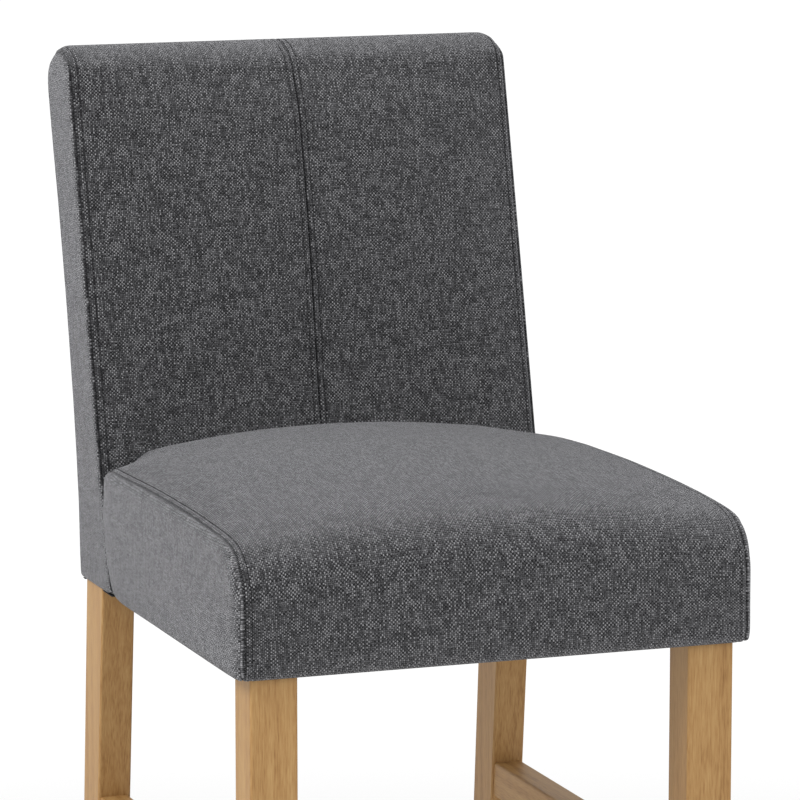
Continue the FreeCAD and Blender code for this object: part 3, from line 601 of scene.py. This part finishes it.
seat_seams = (-seat_seam_x, seat_seam_x)
seat_rows = (-seat_seam_x + STITCH_INSET, seat_seam_x - STITCH_INSET)
back_seams = (-back_seam_x, 0.0, back_seam_x)
back_rows = (-back_seam_x + STITCH_INSET, -STITCH_INSET, STITCH_INSET, back_seam_x - STITCH_INSET)
press_lines(seat_pad, seat_seams, seat_rows)
press_lines(back_pad, back_seams, back_rows)

# %% [markdown]
# ## The thread
# A topstitch is a short fat dash of thread that dives under the cloth at both ends. One stitch is made
# from a six-sided bar with narrowed ends. Copies of it follow the line where the row's plane meets the pad.

# %% Sew the topstitching
STITCH_PITCH = 0.0042
STITCH_LENGTH = 0.0033
STITCH_RADIUS = 0.00042

bpy.ops.object.select_all(action="DESELECT")
bpy.ops.mesh.primitive_cylinder_add(vertices=6, radius=STITCH_RADIUS, depth=STITCH_LENGTH)
stitch = bpy.context.object
bpy.ops.object.mode_set(mode="EDIT")
bpy.ops.mesh.select_mode(type="EDGE")
select_edges(stitch, lambda middle, way: abs(middle.z) > STITCH_LENGTH * 0.49)
bpy.ops.mesh.bevel(offset=STITCH_RADIUS * 0.8, segments=2, affect="EDGES")
bpy.ops.object.mode_set(mode="OBJECT")
stitch_points = points_of(stitch)
stitch_faces = [list(face.vertices) for face in stitch.data.polygons]
bpy.data.objects.remove(stitch)


def row_line(piece, x, wanted):
    """The points and normals of a pad along an upright plane, in order round the pad."""
    points = points_of(piece)
    on_plane = np.abs(points[:, 0] - x) < 0.00002
    line = points[on_plane]
    ways = normals_of(piece)[on_plane]
    middle = line.mean(0)
    leaned = line[:, 1] - middle[1] - (line[:, 2] - middle[2]) * BACK_LEAN
    turn = np.arctan2(line[:, 2] - middle[2], leaned)
    start = -math.pi / 2
    order = np.argsort((turn - start) % (2.0 * math.pi))
    line, ways = line[order], ways[order]
    kept = wanted(line)
    return line[kept], ways[kept]


def sew(name, pad, rows, wanted):
    """One piece that holds all stitches of a pad's rows."""
    corners = []
    faces = []
    for x in rows:
        line, ways = row_line(pad, x, wanted)
        run = np.concatenate([[0.0], np.cumsum(np.linalg.norm(np.diff(line, axis=0), axis=1))])
        for middle in np.arange(STITCH_PITCH, run[-1] - STITCH_PITCH, STITCH_PITCH):
            ends = middle + np.array([-0.5, 0.0, 0.5]) * STITCH_LENGTH
            places = [np.interp(ends, run, line[:, k]) for k in range(3)]
            back_end, centre, fore_end = np.stack(places, axis=1)
            along = (fore_end - back_end) / np.linalg.norm(fore_end - back_end)
            out = np.array([np.interp(middle, run, ways[:, k]) for k in range(3)])
            side = np.cross(out, along)
            side /= np.linalg.norm(side)
            out = np.cross(along, side)
            base = len(corners)
            corners += (centre + stitch_points @ np.array([side, out, along])).tolist()
            faces += [[base + corner for corner in face] for face in stitch_faces]
    mesh = bpy.data.meshes.new(name)
    mesh.from_pydata(corners, [], faces)
    mesh.polygons.foreach_set("use_smooth", [True] * len(mesh.polygons))
    piece = bpy.data.objects.new(name, mesh)
    bpy.context.scene.collection.objects.link(piece)
    print(name, len(faces) // len(stitch_faces), "stitches")
    return piece


def sewn_on_seat(line):
    """True above the foot and in front of the crease."""
    return (line[:, 2] > underside + 0.006) & (line[:, 1] < back_front(line[:, 2]) - 0.008)


def sewn_on_back(line):
    """True above the foot."""
    return line[:, 2] > back_low.z + 0.02


seat_stitches = sew("seat_topstitch", seat_pad, seat_rows, sewn_on_seat)
back_stitches = sew("back_topstitch", back_pad, back_rows, sewn_on_back)

# %% [markdown]
# ## Laying the cloth's threads
# The weave has to follow each panel: over the seat's front edge in one piece, round the top of the back,
# and level along the sides. A UV map in metres does that. Its second number is the distance along the
# pad's side view on the wide panels, so threads neither stretch nor break at the rolled edges.

# %% Map the panels
def side_view_run(y, z, line):
    """Distance along a side view's line of the place nearest to each point."""
    steps = np.linalg.norm(np.diff(line, axis=0), axis=1)
    run = np.concatenate([[0.0], np.cumsum(steps)])
    nearest = np.full(len(y), np.inf)
    found = np.zeros(len(y))
    for start, end, begun, step in zip(line[:-1], line[1:], run[:-1], steps):
        way_y, way_z = end - start
        along = np.clip(((y - start[0]) * way_y + (z - start[1]) * way_z) / step**2, 0.0, 1.0)
        gap = np.hypot(y - start[0] - along * way_y, z - start[1] - along * way_z)
        closer = gap < nearest
        nearest[closer] = gap[closer]
        found[closer] = begun + along[closer] * step
    return found


def without_crown(points):
    """The seat's points with the crown taken out again."""
    plain = points.copy()
    for _ in range(3):
        plain[:, 2] = points[:, 2] - seat_rise(plain)[0]
    return plain


def lay_cloth(piece, seam_x):
    """UV map in metres: wide panels by width and side view, side panels by depth and height."""
    points = points_of(piece)
    line = row_line(piece, seam_x - STITCH_INSET, lambda places: places[:, 2] > -1.0)[0]
    plain = points
    if piece == seat_pad:
        plain = without_crown(points)
        line = without_crown(line)
    line = line[::2, 1:]
    run = side_view_run(plain[:, 1], plain[:, 2], line)
    wide = np.stack([points[:, 0], run], axis=1)
    narrow = np.stack([points[:, 1] - points[:, 2] * BACK_LEAN * (piece == back_pad), points[:, 2]], axis=1)
    corners = np.empty(len(piece.data.loops), dtype=np.int32)
    piece.data.loops.foreach_get("vertex_index", corners)
    middles = np.empty(len(piece.data.polygons) * 3, dtype=np.float32)
    piece.data.polygons.foreach_get("center", middles)
    counts = np.empty(len(piece.data.polygons), dtype=np.int32)
    piece.data.polygons.foreach_get("loop_total", counts)
    outside = np.repeat(np.abs(middles.reshape(-1, 3)[:, 0]) > seam_x, counts)
    flat = np.where(outside[:, None], narrow[corners], wide[corners])
    layer = piece.data.uv_layers.new(name="cloth")
    layer.data.foreach_set("uv", flat.astype(np.float32).ravel())
    # Marks the side panels, which the cloth paints paler as painted sheen.
    side_panel = (np.abs(points[:, 0]) > seam_x).astype(np.float32)
    piece.data.attributes.new("side_panel", "FLOAT", "POINT").data.foreach_set("value", side_panel)
    print(piece.name, "cloth laid over", round(float(run.max()), 3), "m from foot to foot")


lay_cloth(seat_pad, seat_seam_x)
lay_cloth(back_pad, back_seam_x)

# %% [markdown]
# ## Tucking the seat in
# In the photo the seat gets narrower where it meets the back, and a dark crease is left beside the back.
# On a real stool the cover can be pulled in there, round the rails. A lattice could do it, but one more
# move of points is enough. It comes after the seams and the stitches, so that all are drawn in together.

# %% Draw the sides in at the rear
TUCK_LENGTH = 0.100
TUCK_PULL = 0.030
TUCK_MOST = 0.0205
TUCK_AT_FOOT = 0.92


def tuck_in(piece):
    """Pulls the rear of a piece's sides in, the more the closer they are to the back."""
    points = points_of(piece)
    to_rear = back_front(points[:, 2]) - points[:, 1]
    near = np.clip(1.0 - to_rear / TUCK_LENGTH, 0.0, 1.0)
    up = np.clip((points[:, 2] - underside) / SIDE_HEIGHT, 0.0, 1.0)
    pull = np.minimum(TUCK_PULL * near**2, TUCK_MOST) * (TUCK_AT_FOOT + (1.0 - TUCK_AT_FOOT) * up)
    points[:, 0] -= np.sign(points[:, 0]) * pull * np.clip(np.abs(points[:, 0]) / side_x, 0.0, 1.0) ** 4
    set_points(piece, points)
    print(piece.name, "drawn in by up to", round(float(pull.max()) * 1000, 1), "mm")


for piece in (seat_pad, seat_stitches):
    tuck_in(piece)

# %% [markdown]
# ## The cloth
# Heathered cloth is a plain weave of yarns that are each a slightly different grey, with lighter and
# darker lengths along every yarn. The material counts yarns across and along, lets them pass over and
# under in a checker, and picks a random grey for each length. Fine loose fibres catch light at a shallow
# angle, which is why the seat's top and sides look paler than its front: that is the shader's sheen. The
# side panels also get a lighter grey in their colour, which is painted sheen. The hollows between the
# yarns, the seams and the stitch rows are darkened in the colour, which is painted shade.

# %% Weave the cover cloth
YARN_PITCH = 0.0016
YARN_DRIFT = 0.9
YARN_BUMP = 0.0009
FLECK_LENGTH = 3.0
FLECK_SHARE = 0.46
CHECKER_SHARE = 0.26
PATCH_SHARE = 0.06
SIDE_PAINTED_SHEEN = 0.13
SEAM_PAINTED_SHADE = 0.40
CLOTH_GREYS = [
    (0.05, (0.006, 0.006, 0.007)),
    (0.30, (0.034, 0.034, 0.036)),
    (0.55, (0.118, 0.118, 0.124)),
    (0.85, (0.340, 0.339, 0.350)),
]
THREAD_GREYS = [(0.3, (0.010, 0.010, 0.011)), (0.7, (0.030, 0.030, 0.032))]

cover_cloth, tree, shader = new_material("heathered_cloth")
uv_map = tree.nodes.new("ShaderNodeUVMap")
uv_map.uv_map = "cloth"
split = tree.nodes.new("ShaderNodeSeparateXYZ")
tree.links.new(uv_map.outputs[0], split.inputs[0])
drift = noise(tree, uv_map.outputs[0], 90.0)
shift = maths(tree, "MULTIPLY", drift, YARN_DRIFT)
warp = maths(tree, "MULTIPLY_ADD", split.outputs[0], 1.0 / YARN_PITCH, shift)
weft = maths(tree, "MULTIPLY_ADD", split.outputs[1], 1.0 / YARN_PITCH, shift)
warp_number = maths(tree, "FLOOR", warp)
weft_number = maths(tree, "FLOOR", weft)


def fleck(own_number, other_count, seed):
    """A random grey for each length of a yarn, which starts at another place on every yarn."""
    start = maths(tree, "MULTIPLY", own_number, 0.618)
    lengths = maths(tree, "MULTIPLY_ADD", other_count, 1.0 / FLECK_LENGTH, start)
    length_number = maths(tree, "FLOOR", lengths)
    random = tree.nodes.new("ShaderNodeTexWhiteNoise")
    random.noise_dimensions = "3D"
    tree.links.new(join(tree, own_number, length_number, seed), random.inputs["Vector"])
    return random.outputs["Value"]


over_under = maths(tree, "FLOORED_MODULO", maths(tree, "ADD", warp_number, weft_number), 2.0)
warp_round = maths(tree, "SINE", maths(tree, "MULTIPLY", maths(tree, "FRACT", warp), math.pi))
weft_round = maths(tree, "SINE", maths(tree, "MULTIPLY", maths(tree, "FRACT", weft), math.pi))


def upper(warp_value, weft_value):
    """The value of the yarn that lies on top."""
    from_warp = maths(tree, "MULTIPLY", warp_value, over_under)
    from_weft = maths(tree, "MULTIPLY", weft_value, maths(tree, "SUBTRACT", 1.0, over_under))
    return maths(tree, "ADD", from_warp, from_weft)


tone = upper(fleck(warp_number, weft, 1.0), fleck(weft_number, warp, 2.0))
yarn_height = maths(tree, "MULTIPLY", upper(warp_round, weft_round),
                    maths(tree, "MULTIPLY_ADD", upper(weft_round, warp_round), 0.5, 0.5))
patchy = noise(tree, uv_map.outputs[0], 40.0)
shade = maths(tree, "MULTIPLY_ADD", tone, FLECK_SHARE, maths(tree, "MULTIPLY", over_under, CHECKER_SHARE))
shade = maths(tree, "MULTIPLY_ADD", patchy, PATCH_SHARE, shade)
# The side panels get a lighter grey here: painted sheen.
on_side = tree.nodes.new("ShaderNodeAttribute")
on_side.attribute_name = "side_panel"
shade = maths(tree, "MULTIPLY_ADD", on_side.outputs["Fac"], SIDE_PAINTED_SHEEN, shade)
# Darker where the yarns dip: painted shade in the hollows between yarns.
shade = maths(tree, "MULTIPLY", shade, maths(tree, "MULTIPLY_ADD", yarn_height, 0.90, 0.45))
# Darker in the seam valleys and along the stitch rows: painted shade.
seam_shade_mask = tree.nodes.new("ShaderNodeAttribute")
seam_shade_mask.attribute_name = "seam"
shade = maths(tree, "MULTIPLY_ADD", seam_shade_mask.outputs["Fac"], -SEAM_PAINTED_SHADE, shade)
put(tree, shader.inputs["Base Color"], ramp(tree, shade, CLOTH_GREYS))
shader.inputs["Roughness"].default_value = 0.92
shader.inputs["Specular IOR Level"].default_value = 0.2
shader.inputs["Sheen Weight"].default_value = 0.52
shader.inputs["Sheen Roughness"].default_value = 0.33
shader.inputs["Sheen Tint"].default_value = (0.86, 0.86, 0.9, 1.0)
bump(tree, shader, yarn_height, YARN_BUMP)

thread, tree, shader = new_material("grey_thread")
twist = noise(tree, object_place(tree), 2500.0)
put(tree, shader.inputs["Base Color"], ramp(tree, twist, THREAD_GREYS))
shader.inputs["Roughness"].default_value = 0.8
shader.inputs["Specular IOR Level"].default_value = 0.1
for pad in (seat_pad, back_pad):
    pad.data.materials.append(cover_cloth)
for rows in (seat_stitches, back_stitches):
    rows.data.materials.append(thread)
print("cloth woven at", round(YARN_PITCH * 1000, 2), "mm to a yarn")

# %% [markdown]
# ## The dust covers
# Thin black cloth is stapled under the seat and under the foot of the back to hide the frame. Each is a
# flat sheet with corners cut out for the legs, so it starts as a grid and loses the faces at the legs.
# The seat's sheet sags a little, and both get their thickness from a Solidify modifier.

# %% Stretch the dust covers
DUST_THICKNESS = 0.0006
DUST_GRID = 60
SEAT_DUST_SAG = 0.002
LEG_ROOM = 0.002
LEG_REACH = 0.08
DUST_GREYS = [(0.3, (0.006, 0.006, 0.007)), (0.7, (0.03, 0.03, 0.032))]


def dust_sheet(name, node, foot, legs, sag):
    """A thin sheet in the place of a CAD dust cover, with room for the legs that pass through it."""
    low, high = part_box(node)
    bpy.ops.object.select_all(action="DESELECT")
    middle = ((low.x + high.x) / 2, (low.y + high.y) / 2, foot - DUST_THICKNESS)
    bpy.ops.mesh.primitive_grid_add(x_subdivisions=DUST_GRID, y_subdivisions=DUST_GRID, size=1.0,
                                    location=middle)
    piece = bpy.context.object
    piece.scale = (high.x - low.x, high.y - low.y, 1.0)
    piece.name = name
    piece.data.name = name
    bpy.ops.object.transform_apply(location=True, rotation=True, scale=True)
    bpy.ops.object.mode_set(mode="EDIT")
    bpy.ops.mesh.select_mode(type="FACE")
    bpy.ops.mesh.select_all(action="DESELECT")
    shape = bmesh.from_edit_mesh(piece.data)
    for leg_low, leg_high in legs:
        for face in shape.faces:
            centre = face.calc_center_median()
            if leg_low.x < centre.x < leg_high.x and leg_low.y < centre.y < leg_high.y:
                face.select_set(True)
    bmesh.update_edit_mesh(piece.data)
    bpy.ops.mesh.delete(type="FACE")
    bpy.ops.object.mode_set(mode="OBJECT")
    points = points_of(piece)
    across = 1.0 - ((points[:, 0] - middle[0]) / (high.x - low.x) * 2.0) ** 2
    along = 1.0 - ((points[:, 1] - middle[1]) / (high.y - low.y) * 2.0) ** 2
    points[:, 2] -= sag * across * along
    set_points(piece, points)
    area = sum(face.area for face in piece.data.polygons)
    apply_modifier(piece, "SOLIDIFY", thickness=DUST_THICKNESS, offset=0.0)
    print(name, round(area, 4), "square metres")
    return piece, (high.x - low.x, high.y - low.y), area


def leg_room(node, z):
    """The room that a leg takes at a height, seen from above."""
    points = points_of(nodes[node])
    near = points[np.abs(points[:, 2] - z) < LEG_REACH]
    low, high = near.min(0) - LEG_ROOM, near.max(0) + LEG_ROOM
    return Vector(low), Vector(high)


front_legs = [leg_room(name, underside) for name in ("front_leg_left", "front_leg_right")]
posts = [leg_room(name, back_low.z) for name in ("rear_post_left", "rear_post_right")]
seat_dust, seat_dust_cut, seat_dust_area = dust_sheet(
    "seat_dust_sheet", "seat_dust_cover", pad_foot, front_legs, SEAT_DUST_SAG)
back_dust, back_dust_cut, back_dust_area = dust_sheet(
    "back_dust_sheet", "back_dust_cover", back_foot, posts, 0.0)

dust_cloth, tree, shader = new_material("black_dust_cloth")
fibres = noise(tree, object_place(tree), 900.0, 6.0)
put(tree, shader.inputs["Base Color"], ramp(tree, fibres, DUST_GREYS))
shader.inputs["Roughness"].default_value = 0.9
bump(tree, shader, fibres, 0.0002)
for sheet in (seat_dust, back_dust):
    sheet.data.materials.append(dust_cloth)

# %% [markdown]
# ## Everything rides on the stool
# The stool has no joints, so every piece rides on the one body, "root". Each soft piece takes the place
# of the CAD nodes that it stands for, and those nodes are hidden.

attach(seat_pad, "root")
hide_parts("seat_cover_top", "seat_cover_left", "seat_cover_right", "seat_foam",
            "seat_wadding_front", "seat_wadding_left", "seat_wadding_right")
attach(back_pad, "root")
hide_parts("back_cover_left", "back_cover_right", "back_side_panel_left",
            "back_side_panel_right", "back_foam", "back_wadding")
for rows in (seat_stitches, back_stitches):
    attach(rows, "root")
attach(seat_dust, "root")
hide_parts("seat_dust_cover")
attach(back_dust, "root")
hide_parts("back_dust_cover")

# %% [markdown]
# ## Oak, plywood and small parts
# The legs and stretchers are oak under a honey-coloured lacquer. Oak shows broad soft bands of early and
# late wood, fine darker pores drawn out along the grain, and a slow change of tone from board to board.
# Noise that is stretched along one axis gives all three, so each piece only needs to know which way it
# runs. A photo of wood would need an image file, and its grain would repeat.

# %% Finish the wood
GRAIN_STRETCH = 0.03
PORE_STRETCH = 0.08
TONE_STRETCH = 0.3
BAND_SHARE = 0.42
PORE_SHARE = 0.50
TONE_SHARE = 0.18
PORE_BUMP = 0.00012


def grain_place(tree, axis, stretch):
    """Object coordinates squeezed along the grain, so that noise runs out into long streaks."""
    mapping = tree.nodes.new("ShaderNodeMapping")
    tree.links.new(object_place(tree), mapping.inputs["Vector"])
    mapping.inputs["Scale"].default_value[axis] = stretch
    return mapping.outputs[0]


def wood_material(name, axis, dark, middle, light, roughness, coat):
    """Wood whose grain runs along an axis, in three tones."""
    material, tree, shader = new_material(name)
    bands = noise(tree, grain_place(tree, axis, GRAIN_STRETCH), 150.0, 3.0)
    pores = noise(tree, grain_place(tree, axis, PORE_STRETCH), 900.0, 2.0)
    tone = noise(tree, grain_place(tree, axis, TONE_STRETCH), 14.0)
    mixture = maths(tree, "MULTIPLY_ADD", bands, BAND_SHARE, maths(tree, "MULTIPLY", pores, PORE_SHARE))
    mixture = maths(tree, "MULTIPLY_ADD", tone, TONE_SHARE, mixture)
    tones = [(0.36, dark), (0.52, middle), (0.72, light)]
    put(tree, shader.inputs["Base Color"], ramp(tree, mixture, tones))
    put(tree, shader.inputs["Roughness"], maths(tree, "MULTIPLY_ADD", pores, 0.18, roughness))
    shader.inputs["Coat Weight"].default_value = coat
    shader.inputs["Coat Roughness"].default_value = 0.35
    shader.inputs["Specular IOR Level"].default_value = 0.3
    bump(tree, shader, pores, PORE_BUMP)
    return material


OAK = ((0.24, 0.115, 0.032), (0.37, 0.202, 0.070), (0.46, 0.280, 0.110))
SAWN = ((0.46, 0.32, 0.18), (0.60, 0.45, 0.28), (0.70, 0.56, 0.38))
AXIS_WORDS = ("across", "deep", "upright")
oak = [wood_material("honey_oak_" + word, axis, *OAK, 0.42, 0.05) for axis, word in enumerate(AXIS_WORDS)]
sawn = [wood_material("sawn_wood_" + word, axis, *SAWN, 0.62, 0.0) for axis, word in enumerate(AXIS_WORDS)]
ACROSS, DEEP, UPRIGHT = range(3)


def finish_node(name, material):
    """Gives a CAD node its finish, in the slots that it already has."""
    for holder in nodes[name].material_slots:
        holder.material = material


for side in ("left", "right"):
    finish_node("front_leg_" + side, oak[UPRIGHT])
    finish_node("rear_post_" + side, oak[UPRIGHT])
    finish_node("side_stretcher_" + side, oak[DEEP])
    finish_node("seat_side_rail_" + side, sawn[DEEP])
    finish_node("corner_block_front_" + side, sawn[ACROSS])
    finish_node("corner_block_rear_" + side, sawn[ACROSS])
for name in ("footrest_rail", "rear_stretcher"):
    finish_node(name, oak[ACROSS])
for name in ("seat_front_rail", "seat_rear_rail", "back_top_rail", "back_lower_rail", "seat_frame_tenons",
             "back_frame_tenons"):
    finish_node(name, sawn[ACROSS])
print("wood finished on", len(oak) + len(sawn), "grains")

# %% [markdown]
# ## Small parts
# The plywood, the zinc screws and the plastic glides are mostly hidden, but they are real pieces too.
# Plywood is sawn wood with its layers showing, zinc has a faint spangle, and the glides are moulded dark
# plastic with a fine grain. Plain colours would do from afar, but not when someone takes the stool apart.

# %% Finish the small parts
PLY_LAYER = 0.003
PLY_TONES = [(0.3, SAWN[0]), (0.5, SAWN[1]), (0.7, SAWN[2])]
ZINC_TONES = [(0.3, (0.48, 0.47, 0.44)), (0.7, (0.66, 0.64, 0.6))]
PLASTIC_TONES = [(0.3, (0.04, 0.036, 0.032)), (0.7, (0.06, 0.054, 0.048))]

plywood, tree, shader = new_material("birch_plywood")
face_grain = noise(tree, grain_place(tree, ACROSS, 0.06), 110.0, 4.0)
height = tree.nodes.new("ShaderNodeSeparateXYZ")
tree.links.new(object_place(tree), height.inputs[0])
layers = maths(tree, "SINE", maths(tree, "MULTIPLY", height.outputs[2], 2.0 * math.pi / PLY_LAYER))
mixture = maths(tree, "MULTIPLY_ADD", layers, 0.08, face_grain)
put(tree, shader.inputs["Base Color"], ramp(tree, mixture, PLY_TONES))
shader.inputs["Roughness"].default_value = 0.6
bump(tree, shader, face_grain, 0.0001)

zinc, tree, shader = new_material("zinc_plate")
spangle = noise(tree, object_place(tree), 700.0)
put(tree, shader.inputs["Base Color"], ramp(tree, spangle, ZINC_TONES))
put(tree, shader.inputs["Roughness"], maths(tree, "MULTIPLY_ADD", spangle, 0.25, 0.25))
shader.inputs["Metallic"].default_value = 1.0

glide_plastic, tree, shader = new_material("moulded_plastic")
moulding = noise(tree, object_place(tree), 1800.0)
put(tree, shader.inputs["Base Color"], ramp(tree, moulding, PLASTIC_TONES))
shader.inputs["Roughness"].default_value = 0.55
bump(tree, shader, moulding, 0.00005)

for name in ("seat_deck", "back_board"):
    finish_node(name, plywood)
finish_node("seat_screws", zinc)
finish_node("foot_glides", glide_plastic)
print("small parts finished")
